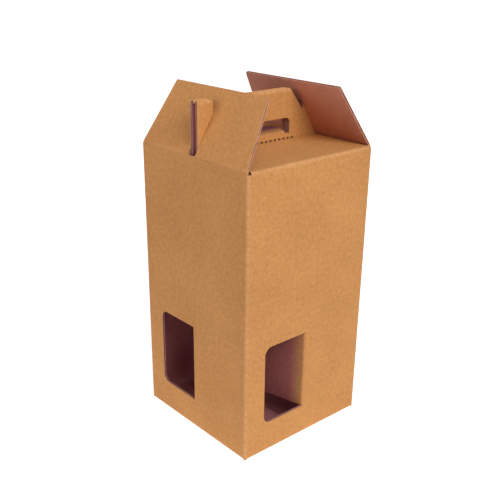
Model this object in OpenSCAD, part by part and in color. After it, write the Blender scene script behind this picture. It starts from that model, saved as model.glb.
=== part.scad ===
/* [Body] */
// Outside width of each of the four walls
body_w = 180; // [165:1:230]
// Height of the creases at the top of the walls
body_h = 331.5; // [240:0.5:400]
// Thickness of the corrugated board
board_t = 2.7; // [2:0.1:3.2]

/* [Glued joint] */
// Width of the glue tab inside the right wall
tab_w = 30; // [20:1:40]
// Distance of the glue tab's ends from the creases above and below
tab_inset = 8; // [6:1:20]
// Width of the slit beside the right wall's cut edge
joint_slit = 0.4; // [0.2:0.1:0.8]

/* [Windows] */
// Height of the windows' lower edges
window_z = 37; // [25:1:80]
// Height of the windows
window_h = 96; // [60:1:140]
// Board between a window's round corners and the edge of its wall
window_margin = 27.6; // [20:0.1:45]
// Radius of the two round corners of a window and of its tongue
window_r = 9.5; // [4:0.5:15]
// Angle that a divider tongue is folded in from its window
tongue_angle = 77; // [60:1:88]
// Cut round a tongue
cut_gap = 0.5; // [0.3:0.1:1]
// Extra cut at the ends of a tongue's bend
bend_cut = 0.5; // [0.3:0.1:1]

/* [Handle] */
// Height of the handle above the top panels
handle_h = 55.5; // [48:0.5:66]
// Gap between a top panel's ends and the side walls
panel_gap = 1.8; // [1:0.1:3]
// Gap between neighbouring plies of the handle
ply_gap = 0.3; // [0.2:0.1:0.6]
// Gap between a return ply's lower edge and the top panels
return_gap = 2; // [1:0.5:6]
// Width of the hand hole
hole_w = 90; // [75:1:96]
// Height of the hand hole's lower edge above the top panels
hole_z = 6; // [4:0.5:9]
// Height of the hand hole
hole_h = 17.5; // [14:0.5:20]
// Radius of the hand hole's upper corners
hole_r = 4.5; // [2:0.5:9]
// Angle that the front hole's tongue is pushed in from upright
front_push = 69; // [62:1:69]
// Angle that the back hole's tongue is pushed out from upright
back_push = 70; // [70:1:80]

/* [Ears] */
// Width of the ear at each end of the handle
ear_w = 20.5; // [16:0.5:24]
// Radius of the ear's inner upper corner
ear_r = 5; // [2:0.5:7]
// Radius of the ear's outer upper corner
ear_end_r = 2; // [1:0.5:4]
// Length that the return plies are cut back at the ears
ear_recess = 3; // [1:0.5:6]
// Width of the notch beside each ear at the top of the handle
notch_w = 20.4; // [14:0.2:24]
// Depth of that notch
notch_d = 26; // [20:0.5:29]

/* [Lock flaps] */
// Width of a lock flap at its free edge
flap_top_w = 148; // [110:1:160]
// Height of the bridge above a lock flap's slot
bridge_h = 15.5; // [8:0.5:22]
// Clearance of the slot on each side of the handle
slot_gap = 0.6; // [0.4:0.1:1.5]
// Clearance of the slot's end past the ear as the flap turns
slot_clear = 1; // [0.5:0.5:5]
// Angle that a lock flap springs back from the handle
spring_back = 6; // [4:0.5:12]
// Clearance along the crease of a lock flap
hinge_gap = 0.4; // [0.2:0.1:0.8]

/* [Bottom] */
// Length of the slanted corners of the bottom flaps
bottom_taper = 16; // [12:1:24]
// Gap along those slanted corners
taper_gap = 1; // [0.5:0.1:2]
// Gap between the two inner bottom flaps
inner_seam = 3; // [1:0.5:6]
// Gap between the two outer bottom flaps
outer_seam = 1.5; // [0.5:0.5:4]

/* [Hidden] */
$fn = 48;
bend_steps = 8;
bend_lap = 4;
cut_over = 1;
half = body_w / 2;
in_half = half - board_t;
window_w = half - window_margin;
panel_half = in_half - panel_gap;
handle_y = 2 * board_t + 1.5 * ply_gap;
wall_h = body_h - board_t;
handle_top = board_t + handle_h;
bend_r = board_t + ply_gap / 2;
return_y = ply_gap / 2 + board_t;
ear_in = panel_half - ear_w;
notch_in = ear_in - notch_w;
hinge_x = half + hinge_gap;
slot_half = handle_y + slot_gap;
slot_l = norm([hinge_x - ear_in - ear_r, handle_h - ear_r]) + ear_r + slot_clear;
flap_l = slot_l + bridge_h;
stop_lean = atan2(hinge_x - notch_in, handle_h);
stop_reach = norm([hinge_x - notch_in, handle_h]);
lean = stop_lean - asin((hinge_gap + board_t) / stop_reach) - spring_back;
mitre = tan(lean / 2);
kraft = "#c4935c";

// Part of a disc between two angles: the board's bend around an inner crease
module sector(r, from, to) {
  mid = (from + to) / 2;
  intersection() {
    circle(r = r);
    polygon([
      [0, 0],
      2 * r * [cos(from), sin(from)],
      2 * r * [cos(mid), sin(mid)],
      2 * r * [cos(to), sin(to)]
    ]);
  }
}

// A section in Y and Z, drawn out along X
module along_x(length) {
  rotate([90, 0, 90]) linear_extrude(length, center = true) children();
}

// A section in X and Z, drawn out along Y
module along_y(length) {
  rotate([90, 0, 0]) linear_extrude(length, center = true) children();
}

// Outline with two round corners at its upper edge, standing on the X axis
module round_topped(w, h, r) {
  translate([-w / 2, 0]) square([w, h - r]);
  translate([-w / 2 + r, 0]) square([w - 2 * r, h]);
  for (s = [-1, 1]) translate([s * (w / 2 - r), h - r]) circle(r = r);
}

// What a rounded corner takes off, at the upper left corner of an outline
module corner_waste(r) {
  difference() {
    translate([-cut_over, -r]) square([r + cut_over, r + cut_over]);
    translate([r, -r]) circle(r = r);
  }
}

// The four walls in plan, with a bend at each upright corner
module wall_ring() {
  difference() {
    union() {
      square([body_w, 2 * in_half], center = true);
      square([2 * in_half, body_w], center = true);
      for (x = [-1, 1], y = [-1, 1]) translate(in_half * [x, y]) circle(r = board_t);
    }
    square(2 * in_half, center = true);
  }
}

// The front wall's window: round corners on the left, straight on the crease
module window() {
  translate([0, -half - cut_over, window_z + window_h / 2]) rotate([-90, 0, 0])
    linear_extrude(board_t + 2 * cut_over) rotate(90)
      round_topped(window_h, window_w, window_r);
}

// The bend at the root of a tongue, about its inner crease, and its lap into the tongue
module tongue_bend(from, to) {
  side = sign(to - from);
  last = to - side * bend_lap;
  out = board_t * [cos(to), sin(to)];
  on = board_t / 2 * side * [-sin(to), cos(to)];
  polygon(concat(
    [[0, 0]],
    [for (i = [0:bend_steps]) let (a = from + (last - from) * i / bend_steps)
      board_t * [cos(a), sin(a)]],
    [0.8 * out + on, 0.2 * out + on]
  ));
}

// The front window's cut-out, folded inward as a divider between two bottles
module divider_tongue() {
  height = window_h - 2 * cut_gap;
  translate([0, -in_half, window_z + window_h / 2]) {
    linear_extrude(height - 2 * bend_cut, center = true)
      tongue_bend(270, 270 - tongue_angle);
    rotate(-tongue_angle) translate([-bend_cut, 0, 0]) rotate([90, 0, 0])
      linear_extrude(board_t) rotate(90)
        round_topped(height, window_w - cut_gap - bend_cut, window_r);
  }
}

// Front wall's upper bend, top panel and doubled handle panel, in Y and Z above the wall
module handle_section() {
  translate([-in_half, 0]) sector(board_t, 90, 180);
  polygon([[-in_half, 0], [-handle_y, 0], [-handle_y, board_t], [-in_half, board_t]]);
  translate([-handle_y, board_t]) {
    sector(board_t, 270, 360);
    square([board_t, handle_h - bend_r]);
    translate([bend_r, handle_h - bend_r]) intersection() {
      circle(r = bend_r);
      translate([-bend_r, 0]) square([2 * bend_r, bend_r]);
    }
    translate([handle_y - return_y, 0]) polygon([
      [0, return_gap],
      [board_t, return_gap],
      [board_t, handle_h - bend_r],
      [0, handle_h - bend_r]
    ]);
  }
}

// What is cut from one end of the handle to leave the notch and the ear, in X and Z
module ear_waste() {
  polygon([
    [ear_in, handle_top - notch_d],
    [ear_in, handle_top + cut_over],
    [notch_in, handle_top + cut_over],
    [notch_in, handle_top]
  ]);
  translate([ear_in, handle_top]) corner_waste(ear_r);
  translate([panel_half, handle_top]) mirror([1, 0]) corner_waste(ear_end_r);
}

// The hand hole's cut-out, turned inward or outward about the crease along the hole's lower edge
module hole_tongue(push) {
  width = hole_w - 2 * cut_gap;
  inward = push > 0;
  translate([0, inward ? board_t - handle_y : -handle_y, board_t + hole_z]) {
    along_x(width - 2 * bend_cut)
      tongue_bend(inward ? 180 : 0, inward ? 180 - push : -push);
    rotate([-push, 0, 0]) translate([0, inward ? 0 : board_t, bend_cut]) rotate([90, 0, 0])
      linear_extrude(board_t) round_topped(width, hole_h - cut_gap - bend_cut, hole_r);
  }
}

// One top panel with its half of the handle, on the front side
module handle_half(push) {
  translate([0, 0, wall_h]) {
    difference() {
      along_x(2 * panel_half) handle_section();
      translate([0, 0, board_t + hole_z]) along_y(3 * handle_y)
        round_topped(hole_w, hole_h, hole_r);
      translate([0, 0, board_t]) along_y(2 * return_y + ply_gap)
        translate([-hole_w / 2, 0]) square([hole_w, hole_z + hole_h / 2]);
      for (s = [0, 1]) mirror([s, 0, 0]) {
        along_y(3 * handle_y) ear_waste();
        translate([panel_half - ear_recess, -handle_y + board_t, board_t + return_gap / 2])
          cube([ear_recess + cut_over, handle_y, handle_h - bend_r - return_gap / 2]);
      }
    }
    hole_tongue(push);
  }
}

// Plan of a bottom flap on the front side, with slanted corners at its crease
module bottom_plan(seam) {
  root = in_half - taper_gap;
  polygon([
    [-root, -in_half],
    [root, -in_half],
    [root - bottom_taper, -in_half + bottom_taper],
    [root - bottom_taper, -seam / 2],
    [bottom_taper - root, -seam / 2],
    [bottom_taper - root, -in_half + bottom_taper]
  ]);
}

// Bottom flap on the front side, which the box stands on
module outer_bottom_flap() {
  along_x(2 * in_half) translate([-in_half, board_t]) sector(board_t, 180, 270);
  linear_extrude(board_t) bottom_plan(outer_seam);
}

// Bottom flap drawn on the front side that climbs onto its two neighbours
module inner_bottom_flap() {
  along_x(2 * in_half) translate([-in_half, board_t]) sector(board_t, 180, 270);
  intersection() {
    linear_extrude(3 * board_t) bottom_plan(inner_seam);
    along_x(2 * in_half) polygon([
      [-in_half, 0],
      [bottom_taper - in_half, board_t],
      [0, board_t],
      [0, 2 * board_t],
      [bottom_taper - in_half, 2 * board_t],
      [-in_half, board_t]
    ]);
  }
}

// Upper edge of the left wall, mitred along the lock flap's crease
module side_wall_top() {
  translate([0, 0, wall_h]) along_y(2 * in_half) polygon([
    [-half, 0],
    [-in_half, 0],
    [-in_half, board_t - hinge_gap / 2 - (hinge_gap + board_t) * mitre],
    [-half, board_t - hinge_gap / 2 - hinge_gap * mitre]
  ]);
}

// Walls with their windows, square cut below where the bottom flaps bend
module walls() {
  difference() {
    linear_extrude(wall_h) wall_ring();
    for (a = [0:90:270]) rotate(a) {
      window();
      translate([-in_half, -half - cut_over, -cut_over])
        cube([2 * in_half, board_t + cut_over, board_t + cut_over]);
    }
  }
  for (a = [0:90:270]) rotate(a) divider_tongue();
}

// Tab of the back wall, glued inside the right wall at the back corner
module glue_tab() {
  translate([in_half - board_t, in_half - tab_w, tab_inset])
    cube([board_t, tab_w, body_h - 2 * tab_inset]);
}

// The folded and glued sheet, apart from the two lock flaps
module carton() {
  color(kraft) difference() {
    union() {
      walls();
      for (s = [0, 1]) {
        mirror([0, s, 0]) {
          handle_half(s == 0 ? front_push : -back_push);
          outer_bottom_flap();
        }
        mirror([s, 0, 0]) {
          rotate(-90) inner_bottom_flap();
          side_wall_top();
        }
      }
      glue_tab();
    }
    translate([in_half - joint_slit, in_half, -cut_over])
      cube([joint_slit, board_t + cut_over, body_h + 2 * cut_over]);
  }
}

// A lock flap's outline in Y and Z while it stands upright on its crease
module lock_flap_outline() {
  difference() {
    polygon([
      [-in_half, 0],
      [in_half, 0],
      [flap_top_w / 2, flap_l],
      [-flap_top_w / 2, flap_l]
    ]);
    translate([-slot_half, -cut_over]) square([2 * slot_half, slot_l + cut_over]);
  }
}

// Lock flap on the left side, leaning in over the ear with its root mitred
module lock_flap() {
  outer = hinge_gap;
  inner = hinge_gap + board_t;
  translate([-hinge_x, 0, body_h]) rotate([0, lean, 0]) intersection() {
    translate([hinge_gap + board_t / 2, 0, 0]) along_x(2 * board_t) lock_flap_outline();
    along_y(body_w) polygon([
      [outer, hinge_gap / 2 + outer * mitre],
      [inner, hinge_gap / 2 + inner * mitre],
      [inner, flap_l],
      [outer, flap_l]
    ]);
  }
}

// Lock flap hinged on the left wall
module left_lock_flap() {
  color(kraft) lock_flap();
}

// Lock flap hinged on the right wall
module right_lock_flap() {
  color(kraft) mirror([1, 0, 0]) lock_flap();
}

carton();
left_lock_flap();
right_lock_flap();
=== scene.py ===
from math import asin, cos, pi, radians, sin, tan

import bmesh
import bpy
import numpy as np
from mathutils import Matrix, Vector
from mathutils.geometry import delaunay_2d_cdt


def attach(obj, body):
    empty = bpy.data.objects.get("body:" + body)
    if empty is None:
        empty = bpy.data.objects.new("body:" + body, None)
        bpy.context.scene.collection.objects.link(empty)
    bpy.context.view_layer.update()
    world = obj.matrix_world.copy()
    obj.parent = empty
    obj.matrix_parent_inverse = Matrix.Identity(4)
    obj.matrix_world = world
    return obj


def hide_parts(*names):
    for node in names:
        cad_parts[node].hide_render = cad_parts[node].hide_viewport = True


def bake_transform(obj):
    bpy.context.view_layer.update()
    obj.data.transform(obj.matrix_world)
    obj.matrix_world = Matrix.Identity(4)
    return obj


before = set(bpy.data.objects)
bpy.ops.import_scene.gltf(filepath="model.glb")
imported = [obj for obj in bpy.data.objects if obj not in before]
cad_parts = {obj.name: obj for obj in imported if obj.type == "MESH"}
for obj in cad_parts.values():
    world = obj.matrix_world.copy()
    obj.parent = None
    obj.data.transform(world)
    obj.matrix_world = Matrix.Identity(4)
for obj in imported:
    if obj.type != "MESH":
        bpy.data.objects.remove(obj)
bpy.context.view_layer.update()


# Front of the carton: one run of the die-cut sheet, from the outer bottom flap up the wall, across the
# top panel and up the handle, folded over on itself and eased at its foot by short knife cuts. The sheet
# is single-wall board: two brown kraft papers glued to a fluted one, creased wherever it folds.
board = 2.7
paper = 0.45
flute_pitch = 6.4
half = 90.0
inside = half - board
body_h = 331.5
corner_bend = pi / 2 * board / 2
bend_slack = 0.1
bend_rows = 9
flute_rows = 5
wave_points = 8
weld = 2e-6
sharp_from = radians(40)


def fold_up(start, heading, steps):
    """Follows a board's outer face through its folds, in a section of Y and Z.

    A step is a flat length, or a fold: degrees to the left, and the depth of the crease it turns about.
    Gives back what places a point of the section, and the length reached after each step.
    """
    rows, marks, run = [], [0.0], 0.0
    point, way = np.array(start, float), radians(heading)
    for step in steps:
        if isinstance(step, tuple):
            turn, crease = radians(step[0]), step[1]
            length = abs(turn) * abs(crease - board / 2)
            centre = point + crease * np.array([sin(way), -cos(way)])
            rows.append((run, *centre, way, turn / length, crease))
            way += turn
            point = centre - crease * np.array([sin(way), -cos(way)])
        else:
            length = step
            rows.append((run, *point, way, 0.0, 0.0))
            point = point + length * np.array([cos(way), sin(way)])
        run += length
        marks.append(run)
    rows = np.array(rows)

    def place(along, depth):
        row = rows[np.clip(np.searchsorted(rows[:, 0], along, side="right") - 1, 0, None)]
        on = along - row[:, 0]
        way = row[:, 3] + row[:, 4] * on
        bent = row[:, 4] != 0
        ahead = np.where(bent, 0.0, on)
        deep = np.where(bent, depth - row[:, 5], depth)
        return (row[:, 1] + ahead * np.cos(way) + deep * np.sin(way),
                row[:, 2] + ahead * np.sin(way) - deep * np.cos(way))

    return place, marks


def quarter_turns(x, y, count):
    """Turns places about the upright axis by quarters, clockwise from above."""
    for _ in range(count):
        x, y = y, -x
    return x, y


def stand(section, quarter, left=None, right=None):
    """Stands a run on one of the four sides, bent at its upright edges: left and right give the place
    of such a bend across the run, and where it starts and ends along it."""
    def place(across, along, depth):
        x = across.astype(float)
        y, z = section(along, depth)
        for side, bend in ((-1, left), (1, right)):
            if bend is None:
                continue
            fold, low, high = bend
            within = (along > low - bend_slack) & (along < high + bend_slack)
            past = np.maximum(side * across - fold, 0) * within
            turn = np.minimum(past / corner_bend, 1) * pi / 2
            level = np.maximum(along, low + board)
            z = np.where(past > 0, section(level, depth)[1] + along - level, z)
            x = np.where(past > 0, side * (fold + (board - depth) * np.sin(turn)), x)
            bent = -inside - (board - depth) * np.cos(turn) + np.maximum(past - corner_bend, 0)
            y = np.where(past > 0, bent, y)
        x, y = quarter_turns(x, y, quarter)
        return np.stack([x, y, z], axis=1)

    return place


def cut_out(loops, across, along):
    """Cuts a flat sheet to its loops, the outline and then its holes, and splits it along lines."""
    apart, beyond, merged = 1e-4, 1.0, 1e-5
    points, edges = [], []
    for loop in loops:
        first = len(points)
        points += [Vector(p) for p in loop]
        edges += [(first + i, first + (i + 1) % len(loop)) for i in range(len(loop))]
    low, high = np.min(loops[0], axis=0), np.max(loops[0], axis=0)
    for u in across:
        if low[0] + apart < u < high[0] - apart:
            edges.append((len(points), len(points) + 1))
            points += [Vector((u, low[1] - beyond)), Vector((u, high[1] + beyond))]
    for v in along:
        if low[1] + apart < v < high[1] - apart:
            edges.append((len(points), len(points) + 1))
            points += [Vector((low[0] - beyond, v)), Vector((high[0] + beyond, v))]
    flat, _, faces, *_ = delaunay_2d_cdt(points, edges, [], 0, merged)
    flat, faces = np.array([p[:] for p in flat]), np.array(faces)
    middle = flat[faces].mean(axis=1)
    keep = np.zeros(len(faces), bool)
    for loop in loops:
        for (ax, ay), (bx, by) in zip(loop, np.roll(loop, -1, axis=0)):
            if ay != by:
                level = (ay > middle[:, 1]) != (by > middle[:, 1])
                keep ^= level & (middle[:, 0] < ax + (bx - ax) * (middle[:, 1] - ay) / (by - ay))
    faces = faces[keep]
    a, b, c = (flat[faces[:, i]] for i in range(3))
    turned = (b - a)[:, 0] * (c - a)[:, 1] - (b - a)[:, 1] * (c - a)[:, 0] < 0
    faces[turned] = faces[turned][:, ::-1]
    used, faces = np.unique(faces, return_inverse=True)
    return flat[used], faces.reshape(-1, 3)


def round_off(centre, radius, start, end, steps=8):
    """Points of a round corner of an outline, between two angles."""
    angles = np.radians(np.linspace(start, end, steps + 1))
    return [(centre[0] + radius * cos(a), centre[1] + radius * sin(a)) for a in angles]


def lay_board(loops, place, folds=(), corners=(), wear_and_light_to=1.2):
    """One run's outer and inner paper and the sheet for its flutes, cut to its loops and bent.

    folds and corners are (from, to, wear) along and across the run, with wear 1 on a crest; on the
    tongues it sets painted light along the crease.
    """
    along, across = [], []
    for lines, bends in ((along, folds), (across, corners)):
        for start, end, _ in bends:
            lines += [start - wear_and_light_to, *np.linspace(start, end, bend_rows), end + wear_and_light_to]
    flat, faces = cut_out(loops, across, along)
    edges = np.concatenate([faces[:, [0, 1]], faces[:, [1, 2]], faces[:, [2, 0]]]).tolist()
    paired = {(b, a) for a, b in edges}
    rim = np.array([e for e in edges if tuple(e) not in paired])
    middle = flat[faces].mean(axis=1)
    smooth = np.zeros(len(faces), bool)
    wear_and_light = np.zeros(len(flat))
    # Paling along the bends: wear on the creases of the walls, painted light along the creases of the
    # tongues.
    for axis, bends in ((1, folds), (0, corners)):
        for start, end, wear_and_light_level in bends:
            smooth |= (middle[:, axis] > start) & (middle[:, axis] < end)
            away = np.maximum(np.maximum(start - flat[:, axis], flat[:, axis] - end), 0)
            wear_and_light = np.maximum(wear_and_light, wear_and_light_level * np.clip(1 - away / wear_and_light_to, 0, 1))
    n = len(flat)
    sides = np.concatenate([rim[:, [1, 0, 0]] + [0, 0, n], rim[:, [1, 0, 1]] + [0, n, n]])
    papers = []
    for kind, top, under in ((0, 0.0, paper), (1, board - paper, board)):
        papers.append({
            "points": np.concatenate([place(flat[:, 0], flat[:, 1], d) for d in (top, under)]),
            "faces": np.concatenate([faces, faces[:, ::-1] + n, sides]),
            "board": np.concatenate([np.column_stack([flat, np.full(n, d)]) for d in (top, under)]),
            "wear_and_light": np.tile(wear_and_light * (1 - kind), 2),
            "smooth": np.concatenate([smooth, smooth, np.zeros(len(sides), bool)]),
            "cut": np.concatenate([np.zeros(2 * len(faces)), np.ones(len(sides))]),
            "kind": kind,
        })
    low, high = flat[:, 0].min(), flat[:, 0].max()
    first, last = low / flute_pitch * wave_points, high / flute_pitch * wave_points
    waves = np.arange(np.ceil(first), last) * flute_pitch / wave_points
    bent = [v for start, end, _ in folds for v in np.linspace(start, end, flute_rows)]
    flat, faces = cut_out(loops, [*waves, *across], bent)
    core = {"points": place(flat[:, 0], flat[:, 1], board / 2), "faces": faces, "across": flat[:, 0]}
    return papers, core


def gather(name, papers, shift, lining, facing=None):
    """Joins sheets of paper to one mesh object, with what the kraft material reads from them."""
    mesh = bpy.data.meshes.new(name)
    starts = np.cumsum([0] + [len(p["points"]) for p in papers])
    faces = np.concatenate([p["faces"] + s for p, s in zip(papers, starts)])
    points = np.concatenate([p["points"] for p in papers]) / 1000
    mesh.from_pydata(points.tolist(), [], faces.tolist())
    sheet = mesh.attributes.new("board", "FLOAT_VECTOR", "POINT")
    where = np.concatenate([p["board"] for p in papers]) / 1000 + shift
    sheet.data.foreach_set("vector", where.astype(np.float32).ravel())
    wear_and_light = mesh.attributes.new("wear_and_light", "FLOAT", "POINT")
    wear_and_light.data.foreach_set("value", np.concatenate([p["wear_and_light"] for p in papers]).astype(np.float32))
    cut = mesh.attributes.new("cut", "FLOAT", "FACE")
    cut.data.foreach_set("value", np.concatenate([p["cut"] for p in papers]).astype(np.float32))
    mesh.polygons.foreach_set("use_smooth", np.concatenate([p["smooth"] for p in papers]))
    kinds = np.concatenate([np.broadcast_to(p["kind"], len(p["faces"])) for p in papers])
    mesh.polygons.foreach_set("material_index", kinds.astype(np.int32))
    tidy = bmesh.new()
    tidy.from_mesh(mesh)
    bmesh.ops.dissolve_degenerate(tidy, dist=weld, edges=tidy.edges)
    bmesh.ops.triangulate(tidy, faces=tidy.faces)
    tidy.to_mesh(mesh)
    tidy.free()
    mesh.set_sharp_from_angle(angle=sharp_from)
    for finish in (facing or outside_kraft, lining):
        mesh.materials.append(finish)
    piece = bpy.data.objects.new(name, mesh)
    bpy.context.collection.objects.link(piece)
    return piece


def tint(red, green, blue):
    """A colour as it shows on a screen, from 0 to 255, as the shader takes it."""
    return (*(((c / 255 + 0.055) / 1.055) ** 2.4 for c in (red, green, blue)), 1.0)


def add(tree, kind, sockets=None, **settings):
    """Adds a node, sets it up, and fills or links its sockets."""
    made = tree.nodes.new(kind)
    for name, value in settings.items():
        setattr(made, name, value)
    for name, value in (sockets or {}).items():
        if isinstance(value, bpy.types.NodeSocket):
            tree.links.new(value, made.inputs[name])
        else:
            made.inputs[name].default_value = value
    return made


def sums(tree, how, a, b):
    """Works out one sum of two values or sockets."""
    return add(tree, "ShaderNodeMath", {0: a, 1: b}, operation=how).outputs[0]


fibres = bpy.data.node_groups.new("kraft_fibres", "ShaderNodeTree")
for name, kind in (("Sheet", "NodeSocketVector"), ("Flute Pitch", "NodeSocketFloat")):
    fibres.interface.new_socket(name, in_out="INPUT", socket_type=kind)
for name in ("Tone", "Fleck", "Ribs", "Relief"):
    fibres.interface.new_socket(name, in_out="OUTPUT", socket_type="NodeSocketFloat")
given = add(fibres, "NodeGroupInput").outputs
drawn = add(fibres, "ShaderNodeVectorMath", {0: given["Sheet"], 1: (0.3, 1.0, 1.0)},
            operation="MULTIPLY").outputs[0]
cloud = add(fibres, "ShaderNodeTexNoise", {"Vector": given["Sheet"], "Scale": 16.0, "Detail": 3.0})
mottle = add(fibres, "ShaderNodeTexNoise", {"Vector": given["Sheet"], "Scale": 210.0, "Detail": 4.0,
                                            "Roughness": 0.65})
grain = add(fibres, "ShaderNodeTexNoise", {"Vector": drawn, "Scale": 1500.0, "Detail": 3.0})
speck = add(fibres, "ShaderNodeTexNoise", {"Vector": drawn, "Scale": 760.0, "Detail": 1.0})
tone = sums(fibres, "ADD", sums(fibres, "MULTIPLY", cloud.outputs[0], 0.5),
            sums(fibres, "ADD", sums(fibres, "MULTIPLY", mottle.outputs[0], 0.9),
                 sums(fibres, "MULTIPLY", grain.outputs[0], 0.9)))
tone = add(fibres, "ShaderNodeMapRange", {"Value": tone, "From Min": 0.75, "From Max": 1.55}).outputs[0]
fleck = add(fibres, "ShaderNodeMapRange", {"Value": speck.outputs[0], "From Min": 0.66,
                                           "From Max": 0.8}).outputs[0]
parted = add(fibres, "ShaderNodeSeparateXYZ", {0: given["Sheet"]})
wave = sums(fibres, "MULTIPLY", sums(fibres, "DIVIDE", parted.outputs[0], given["Flute Pitch"]), 2 * pi)
ribs = sums(fibres, "MULTIPLY", sums(fibres, "ADD", sums(fibres, "SINE", wave, 0.0), 1.0),
            sums(fibres, "MULTIPLY", cloud.outputs[0], 0.5))
relief = sums(fibres, "ADD", sums(fibres, "MULTIPLY", ribs, 0.6),
              sums(fibres, "ADD", sums(fibres, "MULTIPLY", grain.outputs[0], 0.35),
                   sums(fibres, "MULTIPLY", mottle.outputs[0], 0.25)))
add(fibres, "NodeGroupOutput", {"Tone": tone, "Fleck": fleck, "Ribs": ribs, "Relief": relief})


def kraft(name, dark, light, fleck_tint, crest_and_lit_tint, cut_tint):
    """Uncoated brown paper: fibre mottling, flecks, ribs over the flutes, paler cuts and worn crests; on
    the tongues the crest colour is painted light along the crease.
    """
    rib_share, fleck_share, scuff_and_light_share = 0.10, 0.45, 0.35
    finish = bpy.data.materials.new(name)
    finish.use_nodes = True
    tree = finish.node_tree
    shader = tree.nodes["Principled BSDF"]
    sheet = add(tree, "ShaderNodeAttribute", attribute_name="board").outputs["Vector"]
    wear_and_light = add(tree, "ShaderNodeAttribute", attribute_name="wear_and_light").outputs["Fac"]
    cut = add(tree, "ShaderNodeAttribute", attribute_name="cut").outputs["Fac"]
    look = add(tree, "ShaderNodeGroup", node_tree=fibres)
    look.inputs["Flute Pitch"].default_value = flute_pitch / 1000
    tree.links.new(sheet, look.inputs["Sheet"])

    def mix(share, a, b):
        return add(tree, "ShaderNodeMix", {0: share, 6: a, 7: b}, data_type="RGBA").outputs[2]

    colour = mix(look.outputs["Tone"], tint(*dark), tint(*light))
    colour = mix(sums(tree, "MULTIPLY", look.outputs["Ribs"], rib_share), colour, tint(*dark))
    colour = mix(sums(tree, "MULTIPLY", look.outputs["Fleck"], fleck_share), colour, tint(*fleck_tint))
    # Crest colour: wear on the creases of the walls, painted light along the creases of the tongues.
    scuffed_and_lit = sums(tree, "MULTIPLY", wear_and_light, sums(tree, "ADD", look.outputs["Tone"], 0.1))
    colour = mix(sums(tree, "MULTIPLY", scuffed_and_lit, scuff_and_light_share), colour, tint(*crest_and_lit_tint))
    colour = mix(cut, colour, tint(*cut_tint))
    tree.links.new(colour, shader.inputs["Base Color"])
    rough = add(tree, "ShaderNodeMapRange", {"Value": look.outputs["Tone"], "To Min": 0.78,
                                             "To Max": 0.92}).outputs[0]
    tree.links.new(rough, shader.inputs["Roughness"])
    shader.inputs["Specular IOR Level"].default_value = 0.25
    bump = add(tree, "ShaderNodeBump", {"Height": look.outputs["Relief"], "Distance": 0.0001,
                                        "Strength": 0.6})
    tree.links.new(bump.outputs[0], shader.inputs["Normal"])
    return finish


outside_kraft = kraft("outside_kraft", (180, 123, 66), (222, 165, 98), (128, 78, 42),
                      (232, 182, 132), (218, 172, 140))
inside_kraft = kraft("inside_kraft", (162, 98, 98), (188, 124, 120), (110, 64, 62),
                     (204, 148, 132), (206, 158, 142))

handle_h = 55.5
handle_y = 5.85
hairpin = 2.85
return_gap = 2.0
panel_half = 85.5
outer_seam = 1.5
flap_taper = 16.0
flap_root = inside - 1.0
hole_half = 45.0
hole_z = 6.0
hole_h = 17.5
hole_top = hole_z + hole_h
hole_r = 6.0
ear_in = 65.0
notch_in = 44.6
notch_d = 26.0
ear_r = 5.0
ear_end_r = 2.0
recess = 3.0
shoulder_gap = 0.1
shoulder_h = 3.2
corner_cut = 0.05
slit_count = 16
slit_step = 6.6
slit_w = 3.8
slit_low = 1.4
slit_high = 1.6
window_w = 62.4
window_z = 37.0
window_h = 96.0
window_r = 9.5

handled_section, m = fold_up((-outer_seam / 2, 0), 180, [
    inside - outer_seam / 2, (-90, board), body_h - 2 * board, (-90, board), inside - handle_y,
    (90, 0.0), handle_h - hairpin, (-180, hairpin), handle_h - hairpin - return_gap])
handled_folds = [(m[1], m[2], 1), (m[3], m[4], 1), (m[5], m[6], 0), (m[7], m[8], 1)]


def up_handle(z, back=False):
    """Length along the run of a height on the handle's outer ply, or on its return ply."""
    bend_from = handle_h - hairpin
    if z <= bend_from:
        v = m[6] + z
    else:
        v = m[7] + (m[8] - m[7]) / pi * asin(min((z - bend_from) / hairpin, 1))
    return m[7] + m[8] - v if back else v


def window_loop(level, gap=0.0, side=0.0):
    """Outline of a window, or of its cut-out with a gap all round: round at the far corners."""
    low, high, far = level + gap, level + window_h - gap, -window_w + gap
    r = window_r
    return [(side, low), (side, high), *round_off((far + r, high - r), r, 90, 180),
            *round_off((far + r, low + r), r, 180, 270)]


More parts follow.
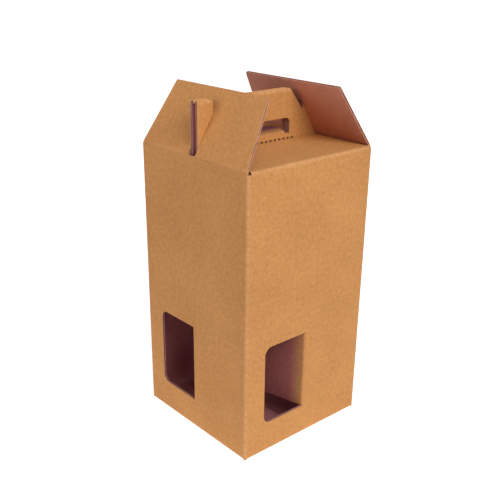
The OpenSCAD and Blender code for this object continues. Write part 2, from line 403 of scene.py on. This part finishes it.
def handled_loops(corner, shoulder=()):
    """Outline and holes of a run that ends in half of the handle."""
    ear_end = round_off((panel_half - ear_end_r, handle_h - ear_end_r), ear_end_r, 0, 90, steps=6)
    edge = [(flap_root - flap_taper, 0), (flap_root - flap_taper, m[1] - flap_taper), (flap_root, m[1]),
            (inside, m[1]), (inside, m[2])]
    foot = [(inside, m[3]), (panel_half, m[3])]
    top = [(u, up_handle(z)) for u, z in ear_end]
    top += [(u, up_handle(z, True)) for u, z in ear_end[-2::-1]]
    top += [(panel_half, m[8]), (panel_half - recess, m[8]), (panel_half - recess, m[9])]
    mouth = [(hole_half, m[9]), (hole_half, up_handle(hole_top - hole_r, True))]
    mouth += [(u, up_handle(z, True))
              for u, z in round_off((hole_half - hole_r, hole_top - hole_r), hole_r, 0, 90)[1:]]
    right = [*edge, *corner, *foot, *shoulder, *top, *mouth]
    left = [(-u, v) for u, v in edge + foot + top + mouth]
    hole = [(hole_half, up_handle(hole_z)), *round_off(
        (hole_half - hole_r, up_handle(hole_top - hole_r)), hole_r, 0, 90)]
    loops = [right + left[::-1], hole + [(-u, v) for u, v in hole[::-1]]]
    for u in slit_step * (np.arange(slit_count) - (slit_count - 1) / 2):
        loops.append([(u - slit_w / 2, m[5] - slit_low), (u + slit_w / 2, m[5] - slit_low),
                      (u + slit_w / 2, m[6] + slit_high), (u - slit_w / 2, m[6] + slit_high)])
    ear = [(ear_in, handle_h - notch_d), (ear_in, handle_h - ear_r)]
    ear += [(ear_in + ear_r - ear_r * cos(a), handle_h - ear_r + ear_r * sin(a))
            for a in np.radians(np.linspace(0, 90, 13))[1:]]
    over_fold = (0, 0.005, 0.02, 0.05, 0.08, hairpin / notch_d)
    slant = [(notch_in + (ear_in - notch_in) * s, handle_h - notch_d * s) for s in over_fold]
    notch = [(u, up_handle(z)) for u, z in ear] + [(u, up_handle(z, True)) for u, z in ear[-2::-1]]
    notch += [(u, up_handle(z, True)) for u, z in slant[::-1]]
    notch += [(u, up_handle(z)) for u, z in slant[1:]]
    loops += [notch, [(-u, v) for u, v in notch]]
    loops.append(window_loop(m[2] + window_z - board))
    return loops


def bent_edge(low, high):
    """The part of an outline that bends round an upright edge of the box, from its foot to its top."""
    cut, far = inside + corner_cut, inside + corner_bend
    return [(cut, low), (cut, low - board), (far, low - board), (far, high)]


shoulder = [(panel_half, m[6]), (inside - shoulder_gap, m[6]), (panel_half, m[6] + shoulder_h)]
front_papers, front_core = lay_board(
    handled_loops(bent_edge(m[2], m[3]), shoulder),
    stand(handled_section, 0, right=(inside, m[2] - board, m[3])),
    handled_folds, [(inside, inside + corner_bend, 1)])
front_run = gather("front_run", front_papers, (0.0, 0.0, 0.0), inside_kraft)
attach(front_run, "carton")
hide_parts("carton")
cores = [front_core]


# Left side of the carton: the next run of the same sheet, from the inner bottom flap, which climbs onto
# the flaps beside it, up the wall to the crease of the lock flap. It bends round into the front wall.
inner_seam = 3.0
climb = 9.7
ramp = 15.8
wall_over = 3.0
plain_section, p = fold_up((-inner_seam / 2, board), 180, [
    inside - inner_seam / 2 - flap_taper, (climb, 0.0), ramp, (-90 - climb, board),
    body_h - 2 * board, wall_over])
drift = plain_section(np.array([p[5]]), np.array([0.0]))
rise = body_h - board - drift[1][0]
shift_in = -half - drift[0][0]
slot_half = 6.1
slot_foot = 0.4


def side_section(along, depth):
    """The section of a side run, set so that its wall stands in line with the others."""
    y, z = plain_section(along, depth)
    return y + shift_in, z + rise


def side_loops(corner):
    """Outline and window of a run that ends at the crease of a lock flap."""
    edge = [(flap_root - flap_taper, 0), (flap_root - flap_taper, p[1]), (flap_root, p[3]),
            (inside, p[3]), (inside, p[4])]
    top = [(inside, p[5]), (slot_half, p[5]), (slot_half, p[5] + board - slot_foot)]
    right = edge + corner + top
    left = [(-u, v) for u, v in edge + top]
    return [right + left[::-1], window_loop(p[4] + window_z - board)]


side_folds = [(p[1], p[2], 0), (p[3], p[4], 1)]
left_papers, left_core = lay_board(
    side_loops(bent_edge(p[4], p[5])), stand(side_section, 1, right=(inside, p[4] - board, p[5])),
    side_folds, [(inside, inside + corner_bend, 1)])
left_run = gather("left_run", left_papers, (0.31, 0.07, 0.0), inside_kraft)
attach(left_run, "carton")
cores.append(left_core)


# Back of the carton: a run like the front one, with the other half of the handle. It bends round into
# the left wall, and at its far edge carries the tab that is glued inside the right wall.
tab_w = 30.0
tab_inset = 8.0
tab_fold = inside - board
tab_low, tab_high = m[2] + tab_inset - board, m[3] - tab_inset + board
tab_end = tab_fold + corner_bend + tab_w
seam_gap = 0.4
tab_slit = 0.3
cut_edge = inside - seam_gap
tab = [(cut_edge, m[3]), (cut_edge, tab_high + tab_slit), (tab_fold, tab_high + tab_slit),
       (tab_fold, tab_high), (tab_end, tab_high), (tab_end, tab_low), (tab_fold, tab_low),
       (tab_fold, tab_low - tab_slit), (cut_edge, tab_low - tab_slit), (cut_edge, m[2])]
back_loops = handled_loops(bent_edge(m[2], m[3]))
at = back_loops[0].index((-inside, m[3]))
back_loops[0][at:at + 1] = [(-u, v) for u, v in tab]
back_papers, back_core = lay_board(
    back_loops, stand(handled_section, 2, (tab_fold, tab_low, tab_high), (inside, m[2] - board, m[3])),
    handled_folds, [(inside, inside + corner_bend, 1), (-tab_fold - corner_bend, -tab_fold, 0)])
back_run = gather("back_run", back_papers, (0.67, 0.13, 0.0), inside_kraft)
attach(back_run, "carton")
cores.append(back_core)


# Right side of the carton: the last run of the sheet, a twin of the left one. Its cut edge lies flush
# with the back of the box, outside the glued tab.
flush_gap = 0.1
flush_edge = half - flush_gap
right_papers, right_core = lay_board(
    side_loops([(flush_edge, p[4]), (flush_edge, p[5])]), stand(side_section, 3), side_folds)
right_run = gather("right_run", right_papers, (1.03, 0.19, 0.0), inside_kraft)
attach(right_run, "carton")
cores.append(right_core)


# Divider tongues: the four window cut-outs, left on at their upright creases and folded inward, where
# they keep the bottles apart. Their outer paper is painted shade, paled by painted light along the
# crease.
cut_gap = 0.5
tongue_angle = 77.0
tongue_bend = radians(tongue_angle) * board / 2
# Strength and width of the painted light along the crease of each tongue.
tongue_painted_light = 4.5
tongue_painted_light_to = 16.0
# Outer paper of the divider tongues: a darker copy of the outside paper, painted shade, with painted
# light as its crest colour.
tongue_shaded_kraft = kraft("tongue_shaded_kraft", (150, 84, 75), (186, 114, 110), (106, 58, 52),
                     (202, 145, 82), (206, 158, 142))
tongue_papers = []


def swing_in(quarter):
    """Places a window's cut-out, swung inward about the crease at the middle of its wall."""
    def place(across, along, depth):
        turn = np.minimum(-across / tongue_bend, 1) * radians(tongue_angle)
        past = np.maximum(-across - tongue_bend, 0)
        x = -(board - depth) * np.sin(turn) - past * np.cos(turn)
        y = -inside - (board - depth) * np.cos(turn) + past * np.sin(turn)
        x, y = quarter_turns(x, y, quarter)
        return np.stack([x, y, along.astype(float)], axis=1)

    return place


for quarter in range(4):
    papers, core = lay_board([window_loop(window_z, gap=cut_gap)], swing_in(quarter),
                             corners=[(-tongue_bend, 0.0, tongue_painted_light)], wear_and_light_to=tongue_painted_light_to)
    tongue_papers += papers
    cores.append(core)
divider_tongues = gather("divider_tongues", tongue_papers, (1.4, 0.3, 0.0), inside_kraft, tongue_shaded_kraft)
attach(divider_tongues, "carton")


# Hand-hole tongues: the two cut-outs of the hand hole, pushed in at the front and pressed out at the
# back, each still hanging on a crease along the hole's lower edge. Outer paper: painted shade, paled by
# painted light there.
front_push = -76.0
back_push = 82.0
hand_gap = 6.5
# Width of the painted light along the crease of each hand-hole tongue.
hand_painted_light_to = 11.0
# Outer paper of the hand-hole tongues: darker still, painted shade, with painted light as its crest
# colour.
hand_shaded_kraft = kraft("hand_shaded_kraft", (112, 58, 58), (140, 80, 80), (84, 46, 46),
                   (202, 145, 82), (206, 158, 142))
hand_papers = []
for quarter, turn, crease in ((0, front_push, board), (2, back_push, 0.0)):
    section, h = fold_up((-handle_y, body_h + hole_z), 90, [(turn, crease), hole_h - cut_gap])
    wide = hole_half - hand_gap
    loop = [(wide, 0.0), *round_off((wide - hole_r, h[2] - hole_r), hole_r, 0, 90)]
    papers, core = lay_board([loop + [(-u, v) for u, v in loop[::-1]]], stand(section, quarter),
                             [(h[0], h[1], tongue_painted_light)], wear_and_light_to=hand_painted_light_to)
    hand_papers += papers
    cores.append(core)
hand_tongues = gather("hand_tongues", hand_papers, (1.5, 0.9, 0.0), inside_kraft, hand_shaded_kraft)
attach(hand_tongues, "carton")


# Fluted middle of the board: one wavy paper between the two flat ones in every panel, its flutes
# upright. It shows as fine waves along the cut edges.
flute_clear = 0.1
flute_paper = 0.2
flute_h = (board - 2 * paper) / 2 - flute_clear
flutes = bpy.data.node_groups.new("flutes", "GeometryNodeTree")
flutes.interface.new_socket("Sheet", in_out="INPUT", socket_type="NodeSocketGeometry")
flute_inputs = {
    name: flutes.interface.new_socket(name, in_out="INPUT", socket_type=kind)
    for name, kind in (("Pitch", "NodeSocketFloat"), ("Height", "NodeSocketFloat"),
                       ("Paper", "NodeSocketFloat"), ("Finish", "NodeSocketMaterial"))}
flutes.interface.new_socket("Flutes", in_out="OUTPUT", socket_type="NodeSocketGeometry")
given = add(flutes, "NodeGroupInput").outputs
across = add(flutes, "GeometryNodeInputNamedAttribute", {"Name": "across"}, data_type="FLOAT")
wave = sums(flutes, "SINE", sums(flutes, "MULTIPLY", sums(
    flutes, "DIVIDE", across.outputs["Attribute"], given["Pitch"]), 2 * pi), 0.0)
lift = sums(flutes, "SUBTRACT", sums(flutes, "MULTIPLY", wave, given["Height"]),
            sums(flutes, "MULTIPLY", given["Paper"], 0.5))
normal = add(flutes, "GeometryNodeInputNormal")
offset = add(flutes, "ShaderNodeVectorMath", {0: normal.outputs[0], "Scale": lift}, operation="SCALE")
waved = add(flutes, "GeometryNodeSetPosition", {"Geometry": given["Sheet"], "Offset": offset.outputs[0]})
thick = add(flutes, "GeometryNodeExtrudeMesh", {"Mesh": waved.outputs[0], "Offset Scale": given["Paper"],
                                                "Individual": False}, mode="FACES")
under = add(flutes, "GeometryNodeFlipFaces", {"Mesh": waved.outputs[0]})
both = add(flutes, "GeometryNodeJoinGeometry")
for half_sheet in (thick, under):
    flutes.links.new(half_sheet.outputs[0], both.inputs[0])
closed = add(flutes, "GeometryNodeMergeByDistance", {"Geometry": both.outputs[0], "Distance": weld})
real = add(flutes, "GeometryNodeRealizeInstances", {"Geometry": closed.outputs[0]})
finished = add(flutes, "GeometryNodeSetMaterial", {"Geometry": real.outputs[0],
                                                   "Material": given["Finish"]})
add(flutes, "NodeGroupOutput", {"Flutes": finished.outputs[0]})

fluting = bpy.data.materials.new("fluting")
fluting.use_nodes = True
tree = fluting.node_tree
shader = tree.nodes["Principled BSDF"]
place_on = add(tree, "ShaderNodeTexCoord").outputs["Object"]
look = add(tree, "ShaderNodeGroup", {"Sheet": place_on, "Flute Pitch": flute_pitch / 1000},
           node_tree=fibres)
colour = add(tree, "ShaderNodeMix", {0: look.outputs["Tone"], 6: tint(168, 116, 88),
                                     7: tint(204, 152, 116)}, data_type="RGBA")
tree.links.new(colour.outputs[2], shader.inputs["Base Color"])
rough = add(tree, "ShaderNodeMapRange", {"Value": look.outputs["Tone"], "To Min": 0.82,
                                         "To Max": 0.95}).outputs[0]
tree.links.new(rough, shader.inputs["Roughness"])
shader.inputs["Specular IOR Level"].default_value = 0.2


def flute(name, sheets, body):
    """Turns the flat middle sheets of one body into its fluted paper."""
    mesh = bpy.data.meshes.new(name)
    starts = np.cumsum([0] + [len(s["points"]) for s in sheets])
    mesh.from_pydata((np.concatenate([s["points"] for s in sheets]) / 1000).tolist(), [],
                     np.concatenate([s["faces"] + n for s, n in zip(sheets, starts)]).tolist())
    across = mesh.attributes.new("across", "FLOAT", "POINT")
    across.data.foreach_set("value", np.concatenate([s["across"] for s in sheets]).astype(np.float32))
    flat = bpy.data.objects.new(name + "_flat", mesh)
    bpy.context.collection.objects.link(flat)
    wave = flat.modifiers.new("flutes", "NODES")
    wave.node_group = flutes
    for key, value in (("Pitch", flute_pitch), ("Height", flute_h / 1000),
                       ("Paper", flute_paper / 1000), ("Finish", fluting)):
        wave[flute_inputs[key].identifier] = value
    bpy.context.view_layer.update()
    shaped = flat.evaluated_get(bpy.context.evaluated_depsgraph_get())
    made = bpy.data.objects.new(name, bpy.data.meshes.new_from_object(shaped))
    bpy.data.objects.remove(flat)
    bpy.context.collection.objects.link(made)
    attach(made, body)


flute("carton_flutes", cores, "carton")


# Lock flaps: the slotted ends of the two side runs, bent at their creases and leaning in over the
# handle's ears, which spring through the slots and hold them.
lean = radians(31.06)
hinge_gap = 0.4
flap_l = 75.96
flap_top = 74.0
flap_r = 2.0
slot_l = 50.0
crease_to = 3.0
# Inner paper of the lock flaps: a paler copy of the inside paper, painted light on their shaded inner
# faces.
flap_lit_lining = kraft("flap_lit_lining", (190, 128, 104), (216, 156, 126), (124, 74, 64),
                    (220, 164, 136), (218, 172, 146))


def leaning(along, depth):
    """Section of a lock flap, from the axis of its crease up along the flap."""
    return (-half - hinge_gap + along * sin(lean) + (hinge_gap + depth) * cos(lean),
            body_h + along * cos(lean) - (hinge_gap + depth) * sin(lean))


def flap_half(v):
    """Half the width of a lock flap, at a length from its crease."""
    return inside + (flap_top - inside) * v / flap_l


for side, quarter, body in (("left", 1, "left_flap"), ("right", 3, "right_flap")):
    edge = [(flap_half(crease_to), crease_to),
            *round_off((flap_half(flap_l - flap_r) - flap_r, flap_l - flap_r), flap_r, 0, 90, steps=5)]
    slot = [(-slot_half, crease_to), (-slot_half, slot_l), (slot_half, slot_l), (slot_half, crease_to)]
    loop = edge + [(-u, v) for u, v in edge[::-1]] + slot
    papers, core = lay_board([loop], stand(leaning, quarter))
    flap = gather(side + "_flap_papers", papers, (2.0 + quarter, 0.4, 0.0), flap_lit_lining)
    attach(flap, body)
    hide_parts(side + "_lock_flap")
    flute(side + "_flap_flutes", [core], body)


# Creases of the lock flaps: the crushed strips of board along the tops of the side walls, where the
# flaps bend.
crease_rows = 16
crease_wear = 0.5


def crease_section(depth):
    """Section of the crease at one depth: up the wall, round the bend and onto the flap."""
    mitre = (hinge_gap + depth) * tan(lean / 2)
    up = np.concatenate([np.linspace(-board, -mitre, crease_rows // 2, endpoint=False),
                         np.linspace(mitre, crease_to, crease_rows // 2 + 1)])
    y = np.where(up < 0, -half + depth, leaning(up, depth)[0])
    z = np.where(up < 0, body_h + up, leaning(up, depth)[1])
    return y, z


rows = crease_rows + 1
along = np.linspace(-board, crease_to, rows)
for side, quarter, body in (("left", 1, "left_flap"), ("right", 3, "right_flap")):
    strips = []
    for hand in (-1, 1):
        points, where = [], []
        for depth in (0.0, board):
            y, z = crease_section(depth)
            for u in sorted((hand * slot_half, hand * inside)):
                x = np.full(rows, u)
                if abs(u) > slot_half:
                    x = x * np.where(np.arange(rows) > rows // 2, flap_half(crease_to) / inside, 1.0)
                points.append(np.stack([x, y, z], axis=1))
                where.append(np.stack([x, along, np.full(rows, depth)], axis=1))
        points = np.concatenate(points)
        points[:, 0], points[:, 1] = quarter_turns(points[:, 0].copy(), points[:, 1].copy(), quarter)
        faces, smooth, kind = [], [], []
        for i in range(rows - 1):
            a, b, c, d = i, rows + i, 2 * rows + i, 3 * rows + i
            for quad, soft, face in (((a, b, b + 1, a + 1), 1, 0), ((d, c, c + 1, d + 1), 1, 1),
                                     ((c, a, a + 1, c + 1), 0, 0), ((b, d, d + 1, b + 1), 0, 0)):
                faces += [quad[:3], (quad[0], *quad[2:])]
                smooth += [soft, soft]
                kind += [face, face]
        foot, head = (0, 2 * rows, 3 * rows, rows), (rows - 1, 2 * rows - 1, 4 * rows - 1, 3 * rows - 1)
        for quad in (foot, head):
            faces += [quad[:3], (quad[0], *quad[2:])]
            smooth += [0, 0]
            kind += [0, 0]
        wear_and_light = crease_wear * np.exp(-np.tile(along, 4) ** 2)
        strips.append({"points": points, "faces": np.array(faces), "board": np.concatenate(where),
                       "wear_and_light": wear_and_light, "smooth": np.array(smooth, bool),
                       "cut": np.zeros(len(faces)), "kind": np.array(kind)})
    # The inner faces of the strips take the flaps' paler lining, painted light.
    crease = gather(side + "_crease", strips, (2.5 + quarter, 0.2, 0.0), flap_lit_lining)
    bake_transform(crease)


# Studio: a plain white floor under a plain white sky, and soft boxes: a high key and a lower lamp before
# the front wall, a fill on the left, one overhead and a weak one behind. Near the carton the floor also
# glows, painted light on the foot of the walls. The camera stands where the picture was taken from.
floor_r = 6.0
floor_drop = 0.0004
floor_mesh = bpy.data.meshes.new("floor")
floor_mesh.from_pydata([(-floor_r, -floor_r, 0), (floor_r, -floor_r, 0), (floor_r, floor_r, 0),
                        (-floor_r, floor_r, 0)], [], [(0, 1, 2, 3)])
floor = bpy.data.objects.new("floor", floor_mesh)
floor.location.z = -floor_drop
bpy.context.collection.objects.link(floor)


def seen_straight(tree):
    """1 for what the camera sees, also in a reflection, and 0 for the light thrown on the carton."""
    seen = add(tree, "ShaderNodeLightPath").outputs
    return sums(tree, "MAXIMUM", seen["Is Camera Ray"],
                sums(tree, "MAXIMUM", seen["Is Glossy Ray"], seen["Is Transmission Ray"]))


ground = bpy.data.materials.new("white_floor")
ground.use_nodes = True
tree = ground.node_tree
tree.nodes.clear()
direct = seen_straight(tree)
matt = add(tree, "ShaderNodeBsdfDiffuse", {"Color": (0.8, 0.8, 0.8, 1.0)})
away = add(tree, "ShaderNodeVectorMath", {0: add(tree, "ShaderNodeTexCoord").outputs["Object"]},
           operation="LENGTH").outputs["Value"]
# Near the carton the floor glows towards the carton: painted light on the foot of the walls.
foot_glow = add(tree, "ShaderNodeMapRange", {"Value": away, "From Min": 0.12, "From Max": 0.45,
                                          "To Min": 0.5, "To Max": 0.0}).outputs[0]
white = add(tree, "ShaderNodeMapRange", {"Value": away, "From Min": 0.5, "From Max": 1.3,
                                         "To Min": 0.78, "To Max": 1.0}).outputs[0]
glow = add(tree, "ShaderNodeEmission", {
    "Color": (0.97, 0.98, 1.0, 1.0),
    "Strength": add(tree, "ShaderNodeMix", {0: direct, 2: foot_glow, 3: white}).outputs[0]})
lit = add(tree, "ShaderNodeAddShader", {0: matt.outputs[0], 1: glow.outputs[0]})
add(tree, "ShaderNodeOutputMaterial", {"Surface": lit.outputs[0]})
floor_mesh.materials.append(ground)

sky = bpy.data.worlds.new("white_studio")
sky.use_nodes = True
tree = sky.node_tree
tree.nodes.clear()
shade = add(tree, "ShaderNodeMix", {0: seen_straight(tree), 6: (0.16, 0.11, 0.18, 1.0),
                                    7: (1.0, 1.0, 1.0, 1.0)}, data_type="RGBA").outputs[2]
light = add(tree, "ShaderNodeBackground", {"Color": shade, "Strength": 1.0})
add(tree, "ShaderNodeOutputWorld", {"Surface": light.outputs[0]})
bpy.context.scene.world = sky


def lamp(name, place, aim, size, power):
    """A square soft box turned towards a point of the carton."""
    data = bpy.data.lights.new(name, "AREA")
    data.size = size
    data.energy = power
    made = bpy.data.objects.new(name, data)
    made.location = place
    made.rotation_euler = (Vector(aim) - Vector(place)).to_track_quat("-Z", "Y").to_euler()
    bpy.context.collection.objects.link(made)


lamp("key", (-0.35, -1.4, 1.7), (0.0, 0.0, 0.15), 1.2, 19.5)
lamp("front", (-0.05, -1.75, 1.05), (0.0, 0.0, 0.15), 1.2, 11.5)
lamp("fill", (-1.65, 0.6, 0.7), (0.0, 0.0, 0.15), 0.6, 8.0)
lamp("top", (-0.3, -0.1, 2.2), (0.0, 0.0, 0.3), 1.4, 4.2)
lamp("back", (1.4, 1.5, 1.1), (0.0, 0.0, 0.15), 1.2, 7.0)

eye = Vector((-0.5608, -0.6228, 0.52517))
ahead = Vector((0.59213, 0.69977, -0.39963))
rightward = Vector((0.76433, -0.64482, 0.00339))
upward = Vector((0.25532, 0.30746, 0.91667))
picture_px = 500
focal_px = 767.0
sensor = 36.0
lens = bpy.data.cameras.new("camera")
lens.sensor_fit = "HORIZONTAL"
lens.sensor_width = sensor
lens.lens = focal_px / picture_px * sensor
lens.shift_x = 0.0361
lens.shift_y = 0.0708
lens.clip_start = 0.01
camera = bpy.data.objects.new("camera", lens)
camera.matrix_world = Matrix((
    (rightward.x, upward.x, -ahead.x, eye.x), (rightward.y, upward.y, -ahead.y, eye.y),
    (rightward.z, upward.z, -ahead.z, eye.z), (0, 0, 0, 1)))
bpy.context.collection.objects.link(camera)
bpy.context.scene.camera = camera
bpy.context.scene.view_settings.view_transform = "Standard"
